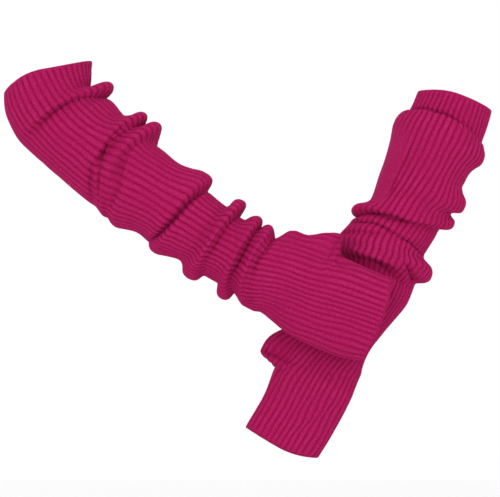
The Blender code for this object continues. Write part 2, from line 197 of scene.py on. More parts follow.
RIGHT_SLEEVE = Sleeve(
    thumb_sign=1,
    drift=2.0,
    middle=((-3.5, 0, 22.9), (0, 0, 0), (6.2, -1, -22), (18.5, -2, -41.4), (39.6, -4, -60.7),
            (81.8, -7, -94.2), (125, -11, -130.2), (169.8, -16, -157.5), (200.6, -19.5, -173.4),
            (237.6, -23.5, -192.7), (272.8, -25.5, -206.8), (289.5, -26, -213)),
    lines=(
        Line("arm edge", -8, -5, 6, 40, 39, 40, 39, 62, 0),
        Line("arm", 8, 9, 20, 36.5, 38.5, 43, 38.5, 57, 1),
        Line("roll 1 foot", 23, 20, 28, 33.5, 38.5, 43, 38.5, 53, 1),
        Line("roll 1", 38, 28.5, 35, 47.5, 42, 42.5, 45, 50, 2),
        Line("crease 1", 48, 33.5, 43, 37.5, 36, 40.5, 36.5, 49, 2),
        Line("panel 1", 62, 50, 55, 40.5, 38.5, 38.5, 38, 47, 3),
        Line("roll 2 foot", 77, 66, 70, 38, 38.5, 38.5, 38, 45, 4),
        Line("roll 2", 92, 83.5, 100, 49, 41.5, 39, 44.5, 43, 5),
        Line("crease 2", 98, 88.5, 108, 41, 35.5, 38.5, 37, 41, 6),
        Line("roll 3", 108, 98.5, 119, 50, 41.5, 41, 45, 36, 7),
        Line("crease 3", 114, 109.5, 124, 36.5, 36.5, 40, 36.5, 31, 8),
        Line("forearm seam", 126, 123, 133, 35, 38, 42, 37.5, 27, 9),
        Line("forearm", 143, 146, 152, 35.5, 35.5, 33.5, 35.5, 20, 10),
        Line("roll 4", 167.5, 166.5, 162, 44, 38.5, 32.5, 42, 14, 11),
        Line("crease 4", 177, 173.5, 167, 33, 32, 32.5, 33, 13, 11),
        Line("ridge 4", 184, 179.5, 173, 32.5, 36, 37, 35.5, 13, 11),
        Line("valley 5", 203, 203, 194, 31, 30.5, 29, 31, 11, 12),
        Line("roll 5", 213, 211, 208, 42, 35.5, 38.5, 39, 10, 12),
        Line("crease 5", 218, 216.5, 219, 29, 29, 29, 29.5, 9, 13),
        Line("roll 6 foot", 224, 224, 231, 29, 30, 29, 30, 8, 13),
        Line("roll 6", 234, 234.5, 240, 36.5, 33, 39.5, 35, 7, 14),
        Line("crease 6", 240, 240.5, 247, 28, 27, 30, 27.5, 6, 14),
        Line("roll 7", 248, 248, 259, 34.5, 31.5, 36, 32, 5, 15),
        Line("wrist seam", 257, 254.5, 268, 27.5, 27.5, 36, 25, 4, 15),
        Line("hand foot", 267, 266, 276, 34, 26.5, 34, 22, 2, 13, 6),
        Line("thumb root", 281, 281, 288, 36, 23.5, 36, 20, 0, 10, 7.5),
        Line("thumb swell", 294, 293, 297, 38, 20.5, 38, 19.5, 0, 8, 15),
        Line("thumb top", 307, 304, 306, 39, 19, 39.5, 18.5, 0, 6, 18.5),
        Line("thumb web", 319, 318, 317, 40.7, 20, 40, 19, 0, 4),
        Line("knuckles", 343, 343, 343, 39, 18.5, 41, 18, 0, 1),
        Line("finger edge", 369, 372.5, 370, 38, 17.5, 36.5, 17.5, 0, 0),
    ),
    folds=(
        Fold("elbow roll", (-25, 18, 51, 95, 140), (38.5, 37.5, 28, 29.2, 34.5), 1.7, 6, 0.9),
        Fold("elbow crease", (-25, 6, 55, 95, 145), (48, 45.5, 34.5, 32.5, 40), -2.3, 4, 0.3),
        Fold("elbow tip", (-40, 0, 35), (35.5, 35.5, 34), 1.5, 5),
        Fold("panel dent", (40, 75, 115), (60, 66, 61), -0.7, 9),
        Fold("second roll", (-25, 6, 47, 84, 125, 150), (91.5, 92.6, 83.5, 84.5, 98.5, 104.5), 1.9, 6, 0.8),
        Fold("second crease", (10, 55, 73, 90, 111, 157),
             (97.5, 86.4, 85.6, 89.7, 97.7, 114.3), -2.6, 3.6, 0.2),
        Fold("third roll", (-20, 10, 38, 78, 92, 119, 150),
             (108.5, 108.5, 102.6, 97.5, 101.7, 110.6, 120), 2.2, 6.5, 0.8),
        Fold("third crease", (0, 45, 61, 81, 101, 118, 155),
             (113, 107.1, 105.4, 107.4, 114.7, 119.5, 124), -2.4, 3.6, 0.2),
        Fold("forearm dent", (30, 70, 110), (140, 146, 150), -0.6, 12),
        Fold("fourth roll", (-25, 22, 50, 95, 125, 165),
             (170, 171.2, 167.7, 166.9, 165.9, 164.8), 1.4, 8, 1.1),
        Fold("fourth crease", (5, 19, 62, 85, 108, 128, 170),
             (177.5, 176.9, 174.9, 174.6, 172.7, 171.8, 168), -2.3, 3.8, 0.4),
        Fold("ridge below it", (15, 25, 61, 83, 104, 125, 160),
             (184, 182.9, 181.6, 180.6, 178.9, 176.9, 174), 1.5, 5, -0.6, 1.5),
        Fold("soft valley", (15, 24, 65, 90, 117, 150), (203.6, 203.6, 203.5, 203.3, 203.9, 202), -1.2, 7),
        Fold("fifth roll", (-20, 23, 56, 85, 109, 150),
             (213, 212.7, 211.4, 210.8, 210.2, 208.5), 1.5, 5, 0.6, 1.5),
        Fold("fifth crease", (0, 19, 57, 84, 112, 150),
             (218, 217.5, 215.7, 215.7, 214.8, 212.5), -1.3, 3.5),
        Fold("sixth roll", (-20, 21, 48, 73, 100, 123, 170),
             (234, 234.5, 234.9, 234.7, 235.1, 235.8, 240), 1.9, 4.5, 0.6, 1),
        Fold("sixth crease", (5, 19, 54, 79, 103, 133, 165),
             (239, 238.4, 239.6, 240.6, 240.6, 239.6, 242), -2.7, 3.2, 0.2),
        Fold("seventh roll", (-20, 21, 48, 73, 97, 124, 165),
             (248.5, 248.8, 249.2, 248.2, 248.6, 249.8, 256), 2, 4.5, 0.6, 1.5),
        Fold("seventh crease", (5, 21, 55, 76, 89, 112),
             (257, 256.6, 257.1, 254.6, 254.4, 256.8), -2.4, 3.2, 0.2),
        Fold("its fading end", (92, 106, 130, 165), (254.6, 256, 259.7, 268), -1, 3.5),
        Fold("wrist ridge", (-5, 10, 36, 63, 90, 115),
             (268, 267.3, 262.6, 262.4, 261.7, 264), 1.2, 5, -0.4),
    ),
    nodes=("right_upper_sleeve", "right_elbow_sleeve", "right_forearm_sleeve", "right_wrist_sleeve",
           "right_hand_sleeve"),
)

LEFT_SLEEVE = Sleeve(
    thumb_sign=-1,
    drift=0.0,
    middle=((363.4, 12, -5.3), (357.3, 12, -22), (342.3, 13.5, -58.1), (330, 15, -90.6),
            (313.3, 17.5, -121.4), (299.2, 19, -145.2), (288.6, 19.5, -175.1), (277.2, 19, -198),
            (259.6, 16.5, -220.9), (243.8, 14, -243.8), (232.3, 11.5, -271), (219.1, 10, -297.4),
            (205.9, 9, -319.4)),
    lines=(
        Line("arm edge", 1, -7, -5, 32, 31, 33.5, 31, 26, 0),
        Line("cuff", 12, 6, 10, 32, 31.5, 35, 31.5, 25, 0),
        Line("cuff tuck", 22, 16.5, 22.5, 33.5, 31.5, 36, 32, 25, 1),
        Line("overlap edge", 24, 14, 24.5, 37.5, 35.5, 38.5, 35.5, 25, 1),
        Line("overlap", 35, 29, 37, 41, 39, 43.5, 40, 24, 1),
        Line("panel 1", 50, 46, 53, 38.5, 39.5, 36, 38.5, 23, 1),
        Line("forearm seam", 72, 66, 65, 37, 38, 34.5, 36, 18, 2),
        Line("lobe 1", 88, 82, 79, 35.5, 37, 43.5, 40, 14, 2),
        Line("notch 2", 111, 92, 87, 31.5, 36, 35, 34.5, 11, 2),
        Line("lip 2", 126, 106.5, 95, 40.5, 38, 42.5, 39, 10, 3),
        Line("crease 2", 130, 111, 101, 34, 32, 33.5, 32, 10, 3),
        Line("roll 3", 133.5, 121.5, 112, 36, 35, 33, 34.5, 10, 3),
        Line("crease 3", 137, 126.5, 124, 37, 33, 33, 33, 9, 3),
        Line("swell 4", 146, 139, 134, 41.5, 36, 34.5, 36, 9, 4),
        Line("lobe shoulder", 150.3, 145, 145.4, 40.3, 37.4, 42.5, 38.7, 10, 4),
        Line("roll 4", 154.5, 151, 156, 39, 38.5, 45.8, 41, 8, 4),
        Line("crease 4", 160, 157.5, 163.2, 33.5, 30.5, 34.5, 31, 8, 4),
        Line("wrist top", 176, 172, 176, 29, 29.5, 35, 28, 7, 6),
        Line("wrist seam", 205, 203, 203, 27, 23, 30, 22.5, 5, 9),
        Line("hand foot", 228, 226, 226, 29, 20.5, 30.5, 20, 2, 8, 2),
        Line("thumb root", 247, 244, 243, 32, 20, 34, 19, 0, 7, 8),
        Line("thumb swell", 257, 254, 253, 34, 19, 36, 18.5, 0, 5, 16.5),
        Line("thumb top", 267.2, 265, 264, 35, 18, 36, 17.5, 0, 3, 18),
        Line("thumb web", 280, 278, 277, 36, 19.5, 36, 18.5, 0, 1),
        Line("knuckles", 305, 305, 305, 33.5, 18, 35, 17.5, 0, 1),
        Line("finger edge", 341, 342, 332, 33, 17.5, 34.5, 17, 0, 0),
    ),
    folds=(
        Fold("cuff pleat", (64, 67, 69), (-8, 5.5, 16), -1.2, 2.2),
        Fold("cuff tuck", (0, 43, 66, 86, 103, 122, 145), (21.5, 15, 13.8, 12.8, 15, 17, 22.5), -1.9, 2.4),
        Fold("overlap lip", (0, 43, 66, 86, 103, 122, 145),
             (25, 19, 17.8, 16.8, 19.2, 21.2, 26), 1, 4.2, -1),
        Fold("strip line", (58, 55, 51, 50, 43), (38, 60.9, 80.3, 96.6, 109), -3, 1.7),
        Fold("side notch", (118, 140, 162, 190), (59, 61, 65, 69), -1.2, 8, 0, 1),
        Fold("side pit", (140, 152, 166, 185), (88, 85, 82.2, 82), -2, 3.2),
        Fold("lip", (-15, 9, 38, 66, 91, 116, 164),
             (126, 125.2, 117.4, 112, 106.7, 100.7, 92.8), 1.9, 5.5, 1.1),
        Fold("crease under it", (0, 10, 34, 56, 74, 94, 112, 136, 152),
             (130.5, 130.1, 123.3, 117.5, 114.4, 110.3, 106.4, 101.5, 98.5), -2.7, 3.2, 0.4),
        Fold("small roll", (5, 43, 76, 92), (132.5, 126.1, 122.5, 123.5), 1.2, 3.4, 0.2),
        Fold("small crease", (5, 39, 61, 82, 98), (135, 130.9, 126.4, 125.3, 126.6), -1.9, 2.8),
        Fold("next small roll", (0, 40, 64, 84), (140, 135, 131, 127.5), 1.4, 3.8, 0.2),
        Fold("next small crease", (0, 11, 42, 64, 84), (144, 143.5, 139.4, 135.7, 129), -1.7, 3),
        Fold("swell edge", (92, 118, 137, 170), (126.2, 125.3, 128.3, 132.6), -1.9, 2.6),
        Fold("swell lip", (92, 118, 137, 170), (130.2, 129.3, 132.3, 136.6), 1.2, 4, -0.7),
        Fold("big lobe", (128, 145, 165, 200), (141, 143.5, 147, 148), 1.4, 9, 0, 7),
        Fold("dark pit", (120, 128, 138, 152, 160), (147, 153.3, 156.7, 159.7, 161.2), -5.8, 3.6),
        Fold("big roll", (30, 60, 94, 119, 150), (150.5, 150.5, 152, 157.2, 162.2), 1.4, 4.2, 0.7),
        Fold("big crease", (25, 55, 81, 103, 128, 162),
             (156.2, 155.7, 155, 159.8, 164.6, 167.2), -2.6, 3.4, 0.3),
        Fold("hand kink", (85, 95, 111, 127, 139, 150),
             (325, 319.1, 306.9, 289.4, 281, 276), -0.4, 11, 0, 3),
    ),
    plains=(Plain("inner strip", -40, 53, 33, 113),),
    nodes=("left_upper_sleeve", "left_forearm_sleeve", "left_wrist_sleeve", "left_hand_sleeve"),
)

SLEEVES = {"right": RIGHT_SLEEVE, "left": LEFT_SLEEVE}


class ArmWarmerSettings(bpy.types.PropertyGroup):
    """Sizes and finish that a maker of the pair would change."""

    wall: FloatProperty(
        name="Wall", description="Thickness of the knit under its ribs", default=0.0016, unit="LENGTH")
    rib_height: FloatProperty(
        name="Rib height", description="From the bottom of a groove to the top of a rib",
        default=0.0010, unit="LENGTH")
    stitch_height: FloatProperty(
        name="Stitch height", description="Length of cloth that one row of stitches takes",
        default=0.0014, unit="LENGTH")
    stitch_relief: FloatProperty(
        name="Stitch relief", description="How far a stitch stands out", default=0.00022, unit="LENGTH")
    edge_radius: FloatProperty(
        name="Edge radius", description="Half the thickness of the bound-off edges",
        default=0.0010, unit="LENGTH")
    cut_length: FloatProperty(
        name="Cut length", description="Length of one relaxed warmer laid flat",
        default=0.50, unit="LENGTH")
    cut_round: FloatProperty(
        name="Cut round", description="Width of one relaxed warmer, all round", default=0.18, unit="LENGTH")
    yarn_colour: FloatVectorProperty(
        name="Yarn", description="Colour of the yarn", subtype="COLOR", size=3, default=RECORD_COLOUR)
    # Painted shade in the grooves between the ribs, where the ribs shade each other
    groove_shade: FloatProperty(
        name="Groove shade", description="How much darker the yarn is in a groove",
        default=0.34, subtype="FACTOR")
    floor_drop: FloatProperty(
        name="Floor drop", description="Space between the pair and the floor", default=0.09, unit="LENGTH")
    floor_size: FloatProperty(
        name="Floor size", description="Width of the studio floor", default=1.8, unit="LENGTH")
    key_power: FloatProperty(
        name="Key light", description="Power of the main studio light", default=16.0, unit="POWER")
    edge_stitches: IntProperty(
        name="Edge stitches", description="Bound-off stitches for each rib", default=3)


def smooth_through(knots, rows, places, level=False):
    """Smooth curve through rows of values: a cubic between each two, whose slope at a row is the
    mean of the steps before and after it, the nearer one counting more. With level, the slope
    is 0 at every peak and hollow, which rounds them."""
    gaps = np.diff(knots)
    steps = np.diff(rows, axis=0) / gaps[:, None]
    slopes = np.empty_like(rows)
    slopes[0] = steps[0]
    slopes[-1] = steps[-1]
    shared = steps[:-1] * gaps[1:, None] + steps[1:] * gaps[:-1, None]
    slopes[1:-1] = shared / (gaps[:-1] + gaps[1:])[:, None]
    if level:
        slopes[1:-1] *= (steps[:-1] * steps[1:] > 0)
    index = np.clip(np.searchsorted(knots, places, side="right") - 1, 0, len(gaps) - 1)
    gap = gaps[index][..., None]
    part = (places - knots[index])[..., None] / gap
    start = rows[index] * (1 + 2 * part) * (1 - part) ** 2
    end = rows[index + 1] * part ** 2 * (3 - 2 * part)
    bend = slopes[index] * part * (1 - part) ** 2 - slopes[index + 1] * part ** 2 * (1 - part)
    return start + end + gap * bend


def running_sum(steps):
    """Sum of the steps so far, from 0 on."""
    return np.concatenate([[0.0], np.cumsum(steps)])


def path_lengths(points):
    """Length of a path up to each of its points."""
    return running_sum(np.linalg.norm(np.diff(points, axis=0), axis=1))


def unit(vectors):
    """Vectors of length 1."""
    return vectors / np.linalg.norm(vectors, axis=-1, keepdims=True)


def eased(part):
    """Soft step from 0 to 1."""
    part = np.clip(part, 0, 1)
    return part * part * (3 - 2 * part)


def varied(rule, number):
    """Mean of a rule plus its sine of a number."""
    return rule.mean + rule.amount * math.sin(rule.rate * number + rule.start)


def middle_frame(sleeve, along):
    """Point on the middle of the sleeve, and the directions to its thumb side and its back.

    The thumb direction is the cross product of the way ahead and the line of sight, and the
    back direction is square to both.
    """
    points = np.array(sleeve.middle) * MM
    knots = path_lengths(points) - path_lengths(points)[1]
    ahead = smooth_through(knots, points, along + PROBE) - smooth_through(knots, points, along - PROBE)
    ahead = unit(ahead)
    thumb = unit(np.cross(ahead, (0.0, sleeve.thumb_sign, 0.0)))
    return smooth_through(knots, points, along), thumb, np.cross(ahead, thumb) * sleeve.thumb_sign


def line_values(sleeve):
    """The lines as rows of numbers in metres and radians. On the palm side a line lies as far along
    as the mean of its neighbours, moved away from the back's place by half the difference."""
    rows = []
    for line in sleeve.lines:
        palm_at = 0.75 * (line.thumb_at + line.little_at) - 0.5 * line.back_at
        rows.append((line.thumb_at, line.back_at, line.little_at, palm_at,
                     line.thumb, line.back, line.little, line.palm, line.swell, line.spin, line.sway))
    return np.array(rows) * ([MM] * 9 + [math.radians(1)] * 2)


def line_ways(sleeve):
    """Length of cloth from each line to the next, as a mean of the four sides."""
    steps = np.diff(line_values(sleeve), axis=0)
    return np.hypot(steps[:, :4], steps[:, 4:8]).mean(axis=1)


def line_knots(sleeve):
    """One knot for each line; the gaps grow with the square root of the way between two lines."""
    return running_sum(np.sqrt(line_ways(sleeve)))


def knots_of(sleeve, *names):
    """Knots of the lines with these names."""
    all_names = [line.name for line in sleeve.lines]
    return [line_knots(sleeve)[all_names.index(name)] for name in names]


def lines_at(sleeve, place, level=False):
    """Values of the lines at each place along the sleeve, which counts in knots."""
    return smooth_through(line_knots(sleeve), line_values(sleeve), place, level)


def cloth_lengths(sleeve, places):
    """Length of cloth from the first line to each place, straight between the lines."""
    return np.interp(places, line_knots(sleeve), running_sum(line_ways(sleeve)))


def along_at(here, angle):
    """Distance along the sleeve at an angle: the four sides' distances, each weighed by the
    squared cosine or sine of the angle, so that the weights add up to one."""
    cosine = np.cos(angle)
    sine = np.sin(angle)
    parts = [np.maximum(cosine, 0), np.maximum(sine, 0), np.maximum(-cosine, 0), np.maximum(-sine, 0)]
    return (here[..., :4] * np.stack(parts, axis=-1) ** 2).sum(axis=-1)


def width_and_depth(here):
    """Width of the sleeve from side to side and its depth from front to back."""
    return here[..., 4] + here[..., 6], here[..., 5] + here[..., 7]


def round_angle(here, turn):
    """Angle round the middle at a turn of the cloth: the turn plus a part of the sine of twice the
    turn, so that equal turns are equal widths of cloth where the sleeve is flat too."""
    wide, deep = width_and_depth(here)
    return turn + (wide - deep) / (2 * (wide + deep)) * np.sin(2 * turn)


def opening_pull(sleeve, here, place, away):
    """Angle by which the opening pushes the cloth beside it round, and the factor by which it
    widens the sleeve: its edge goes round in a soft half wave along the slit and stays as far out."""
    top, web = knots_of(sleeve, "thumb top", "thumb web")
    part = np.clip((place - top) / (web - top), 0, 1)
    edge = np.arcsin(THUMB_HALF_GAP / (width_and_depth(here)[1] / 2))
    edge = edge * np.sin(math.pi * part) ** SOFT_POWER
    pushed = edge * eased(1 - away / PULL_REACH)
    widen = 1 + (1 / np.cos(edge) - 1) * eased(1 - (away + pushed - edge) / WIDEN_REACH)
    return pushed, widen


def thumb_swell(here, away):
    """How far the thumb side swells: half a wave over the angle from it."""
    return here[..., 8] * (1 + np.cos(math.pi * np.clip(away / SWELL_REACH, 0, 1))) / 2


def evened_reach(sleeve, place):
    """Reach of the thumb side and the little-finger side with the lobes evened out along the
    sleeve: a mean of all the lines, each weighed by a bell curve of its distance in cloth."""
    lengths = running_sum(line_ways(sleeve))
    gaps = (lengths[:, None] - lengths[None, :]) / LOBE_LENGTH
    weights = np.exp(-gaps ** 2) * np.gradient(lengths)[None, :]
    weights /= weights.sum(axis=1, keepdims=True)
    return smooth_through(line_knots(sleeve), weights @ line_values(sleeve)[:, (4, 6)], place, True)


def lobe_shifts(sleeve, place):
    """Shift along the sleeve that rounds the folded edges of the thumb side and of the other side.

    Each line that stands out beyond both its neighbours is such an edge. The shift grows from 0
    on its top to a share of its height beside it and fades in a bell curve.
    """
    lengths = running_sum(line_ways(sleeve))
    here = cloth_lengths(sleeve, place)
    shifts = []
    for reach in line_values(sleeve)[:, (4, 6)].T:
        rises = reach[1:-1] - np.maximum(reach[:-2], reach[2:])
        offs = [(here - length) / LOBE_RADIUS for length in lengths[1:-1]]
        shifts.append(sum(LOBE_SHARE * rise * off * np.exp(0.5 - 0.5 * off ** 2)
                          for rise, off in zip(rises, offs) if rise > 0))
    return shifts


def fold_path(sleeve, fold):
    """A fold's line as turns in radians and lengths of cloth, smooth through its few points.

    Each point's distance along is looked up among the places of the sleeve at that turn.
    """
    places = np.linspace(0, line_knots(sleeve)[-1], FOLD_PLACES)
    here = lines_at(sleeve, places)
    turns = np.radians(fold.turns)
    found = []
    for turn, at in zip(turns, fold.ats):
        along = along_at(here, round_angle(here, turn))
        found.append(places[np.argmin(np.abs(along - at * MM))])
    points = np.column_stack([turns, cloth_lengths(sleeve, found)])
    knots = np.arange(len(points), dtype=float)
    steps = np.linspace(0, knots[-1], FOLD_STEPS * (len(points) - 1) + 1)
    return smooth_through(knots, points, steps)


def hidden_twin(path, number):
    """The fold's fellow on the hidden side: turned over to the palm side, a little shorter and
    shifted along by an uneven amount that follows from its number."""
    twin = path.copy()
    twin[:, 0] = 2 * math.pi - path[:, 0] * varied(TWIN_LENGTH, number)
    wander = TWIN_WANDER * np.sin(TWIN_WANDER_RATE * path[:, 0] + number)
    twin[:, 1] += varied(TWIN_SHIFT, number) + wander
    return twin


def fold_share(path, turn, length, width):
    """How strongly each point of the cloth belongs to a fold: (1 - d * d) squared, where d is the
    distance from the fold's line over its half width, faded towards both ends of the line."""
    middle = path[len(path) // 2, 0]
    turn = middle + np.mod(turn - middle + math.pi, 2 * math.pi) - math.pi
    near = np.abs(length - path[:, 1].mean()) < np.ptp(path[:, 1]) / 2 + 2 * width + FOLD_MARGIN
    share = np.zeros(turn.shape)
    cloth = np.stack([turn[near] * FOLD_RADIUS, length[near]])
    spots = path * (FOLD_RADIUS, 1.0)
    best = np.full(cloth[0].shape, np.inf)
    reach = np.zeros(cloth[0].shape)
    ends = path_lengths(spots)
    for number, step in enumerate(np.diff(spots, axis=0)):
        size = step @ step
        across, along = cloth - spots[number][:, None]
        part = np.clip((across * step[0] + along * step[1]) / size, 0, 1)
        gap = np.hypot(across - part * step[0], along - part * step[1])
        closer = gap < best
        best = np.where(closer, gap, best)
        reach = np.where(closer, (ends[number] + part * math.sqrt(size)) / ends[-1], reach)
    distance = np.clip(best / width, 0, 1)
    share[near] = (1 - distance ** 2) ** 2 * eased(np.minimum(reach, 1 - reach) / FOLD_FADE)
    return share


def fold_shifts(sleeve, place, turn):
    """Height, lean and push of all the folds together at each point of the cloth."""
    length = cloth_lengths(sleeve, place)
    shifts = np.zeros((3,) + place.shape)
    for number, fold in enumerate(sleeve.folds):
        path = fold_path(sleeve, fold)
        sizes = (fold.height * MM, fold.lean * MM, math.radians(fold.push))
        twin = hidden_twin(path, number)
        for line, amount in ((path, 1.0), (twin, varied(TWIN_STRENGTH, number))):
            share = fold_share(line, turn, length, fold.width * MM) * amount
            for shift, size in zip(shifts, sizes):
                shift += size * share
    return shifts


def rib_turn(sleeve, place, turn):
    """Turn round the sleeve at which a rib lies: its turn in the cloth, the spin and the sway of
    the lines, and a wander, a sum of sines. Only the spin shifts the ribs at the thumb side."""
    here = lines_at(sleeve, place)
    length = cloth_lengths(sleeve, place)
    wander = sum(wave.amount * np.sin(wave.waves_round * turn + 2 * math.pi * wave.waves_along * length
                                      + wave.start) for wave in WANDERS)
    wander = wander * (1 - np.cos(turn)) / 2
    turned = turn + here[..., 9] + here[..., 10] * np.sin(turn) * np.abs(np.sin(turn)) + wander
    return turned - 2 * math.pi * (turned > 2 * math.pi + PROBE)


def sleeve_surface(sleeve, place, turn):
    """Face of the sleeve under its ribs: four quarter ellipses round the middle, smooth along the lines.

    turn runs evenly round the cloth from the thumb side over the back. The thumb side swells in a
    half wave, and the opening widens it. The lobes of the two sides fade towards the front and
    back with the squared cosine, and their edges are rounded. Folds stand out square to the
    ellipse and lean along the sleeve.
    """
    here = lines_at(sleeve, place, True)
    even = evened_reach(sleeve, place)
    turn = rib_turn(sleeve, place, turn)
    height, lean, push = fold_shifts(sleeve, place, turn)
    angle = round_angle(here, turn)
    away = math.pi - np.abs(angle - math.pi)
    pushed, widen = opening_pull(sleeve, here, place, away)
    angle = math.pi + np.sign(angle - math.pi) * (math.pi - away - pushed) + push
    cosine = np.cos(angle)
    sine = np.sin(angle)
    lobe = cosine ** 2
    thumb_reach = even[..., 0] + (here[..., 4] - even[..., 0]) * lobe + thumb_swell(here, away)
    thumb_reach = thumb_reach * widen
    little_reach = even[..., 1] + (here[..., 6] - even[..., 1]) * lobe
    wide = np.where(cosine > 0, thumb_reach, little_reach)
    swells = lobe_shifts(sleeve, place)
    lean = lean + np.where(cosine > 0, swells[0], swells[1]) * lobe ** 2
    deep = np.where(sine > 0, here[..., 5], here[..., 7])
    centre, thumb, back = middle_frame(sleeve, along_at(here, angle))
    ahead = np.cross(thumb, back) * sleeve.thumb_sign
    slope = np.hypot(cosine / wide, sine / deep)
    sideways = wide * cosine + height * cosine / wide / slope
    outwards = deep * sine + height * sine / deep / slope
    return (centre + thumb * sideways[..., None] + back * outwards[..., None]
            + ahead * lean[..., None])


def mesh_rows(sleeve):
    """Places of the mesh rows and whether each lies inside the thumb opening.

    Each gap between two lines gets rows in proportion to its length of cloth, a whole number
    of inner rows. The smooth part has wider rows than the gathered one.
    """
    knots = line_knots(sleeve)
    names = [line.name for line in sleeve.lines]
    smooth = names.index("hand foot")
    places = []
    is_open = []
    for number, way in enumerate(line_ways(sleeve)):
        row_step = SMOOTH_ROW_STEP if number >= smooth else GATHERED_ROW_STEP
        row_step = SLIT_ROW_STEP if names[number] == "thumb top" else row_step
        rows = ROWS_PER_INNER_ROW * max(1, round(way / (row_step * ROWS_PER_INNER_ROW)))
        share = np.arange(rows) / rows
        places.append(knots[number] + (knots[number + 1] - knots[number]) * share)
        is_open.append((names[number] == "thumb top") & (share > 0))
    return np.concatenate(places + [[knots[-1]]]), np.concatenate(is_open + [[False]])


def grid_directions(sleeve, points, is_open):
    """Outward unit directions of a grid, from the differences between neighbouring rows and columns;
    they run on across the closing column, except in the thumb opening."""
    lengthwise = np.gradient(points, axis=0)
    crosswise = np.gradient(points, axis=1)
    across = (points[:, 1] - points[:, -2]) / 2
    across = np.where(is_open[:, None], crosswise[:, 0], across)
    crosswise[:, 0] = across
    crosswise[:, -1] = np.where(is_open[:, None], crosswise[:, -1], across)
    return unit(np.cross(crosswise, lengthwise) * sleeve.thumb_sign)


def grid_numbers(rows, columns, is_open, start):
    """Point numbers of a grid that closes round on its first column, except in the thumb opening."""
    numbers = start + np.arange(rows * columns).reshape(rows, columns)
    closing = numbers[:, 0].copy()
    closing[is_open] = start + rows * columns + np.arange(is_open.sum())
    return np.column_stack([numbers, closing])


def grid_points(points, is_open):
    """The grid's points in the order of their numbers: whole rows, then the opening's second edge."""
    return np.vstack([points[:, :-1].reshape(-1, 3), points[is_open, -1]])


def opening_rows(is_open):
    """Rows from one end of the thumb opening to the other, of the outer and of the inner grid."""
    inside = np.flatnonzero(is_open)
    start, stop = inside[0] - 1, inside[-1] + 2
    return slice(start, stop), slice(start // ROWS_PER_INNER_ROW, stop // ROWS_PER_INNER_ROW + 1)


def grid_corners(values):
    """The four corners of each cell of a grid of numbers or of vectors."""
    corners = [values[:-1, :-1], values[:-1, 1:], values[1:, 1:], values[1:, :-1]]
    return np.stack(corners, axis=2).reshape((-1, 4) + values.shape[2:])


def rim_triangles(dense, sparse):
    """Triangles between a dense row and a sparse row of numbers or of vectors: a fan to the nearer
    sparse point for each step, and one triangle across each sparse step."""
    step = (len(dense) - 1) // (len(sparse) - 1)
    turn = (step + 1) // 2
    fans = np.arange(0, len(dense) - 1, step)
    near = np.arange(len(sparse) - 1)
    rims = [np.stack([dense[fans + k + 1], dense[fans + k], sparse[near + (k >= turn)]], axis=1)
            for k in range(step)]
    return np.vstack(rims + [np.stack([dense[fans + turn], sparse[near], sparse[near + 1]], axis=1)])


def wall_faces(sleeve, outer, inner, is_open):
    """Faces of a wall as numbers or as uv: outside, inside, both ends and the opening's two edges."""
    rows, inner_rows = opening_rows(is_open)
    faces = [grid_corners(outer), grid_corners(inner)[:, ::-1],
             rim_triangles(outer[0], inner[0]),
             rim_triangles(outer[-1], inner[-1])[:, ::-1],
             rim_triangles(outer[rows, 0], inner[inner_rows, 0])[:, ::-1],
             rim_triangles(outer[rows, -1], inner[inner_rows, -1])]
    return [face[:, ::-1] for face in faces] if sleeve.thumb_sign < 0 else faces


def fill_mesh(name, points, faces, uvs, attributes):
    """New mesh from arrays: points, lists of faces with their uv corners, and point attributes."""
    mesh = bpy.data.meshes.new(name)
    corners = np.concatenate([face.reshape(-1) for face in faces])
    totals = np.concatenate([np.full(len(face), face.shape[1]) for face in faces])
    starts = np.concatenate([[0], np.cumsum(totals)[:-1]])
    mesh.vertices.add(len(points))
    mesh.vertices.foreach_set("co", np.ascontiguousarray(points, dtype=np.float32).ravel())
    mesh.loops.add(len(corners))
    mesh.loops.foreach_set("vertex_index", corners.astype(np.int32))
    mesh.polygons.add(len(totals))
    mesh.polygons.foreach_set("loop_start", starts.astype(np.int32))
    mesh.polygons.foreach_set("loop_total", totals.astype(np.int32))
    layer = mesh.uv_layers.new(name="cloth")
    flat = np.concatenate([uv.reshape(-1, 2) for uv in uvs])
    layer.data.foreach_set("uv", flat.astype(np.float32).ravel())
    for key, values in attributes.items():
        mesh.attributes.new(key, "FLOAT", "POINT").data.foreach_set("value", values.astype(np.float32))
    mesh.update(calc_edges=True)
    mesh.validate()
    mesh.shade_smooth()
    return mesh


def sideways_reach(sleeve, here, place, turn):
    """Distance from the middle to each point of the thumb half, across the sleeve as one sees it."""
    away = round_angle(here, turn)
    pushed, widen = opening_pull(sleeve, here, place, away)
    return (here[..., 4] + thumb_swell(here, away)) * widen * np.cos(away + pushed)


def cut_share(sleeve, place, away):
    """Share of the cut ribs that have ended before each point of the opening's rows. The ribs run
    straight on there: each point has the rib that stands as far aside at the top of the slit."""
    top, web = knots_of(sleeve, "thumb top", "thumb web")
    turns = np.linspace(0, math.pi / 2, SLIT_TURNS)
    tops = np.full(SLIT_TURNS, top)
    reach = sideways_reach(sleeve, lines_at(sleeve, tops, True), tops, turns)
    places = np.append(np.clip(place, top, web).ravel(), web)
    angles = np.append(away.ravel(), 0.0)
    sideways = sideways_reach(sleeve, lines_at(sleeve, places, True), places, angles)
    straight = np.interp(-sideways, -reach, turns)
    shift = np.where(angles < math.pi / 2, np.maximum(straight - angles, 0), 0)
    return (shift[:-1] / shift[-1]).reshape(place.shape)


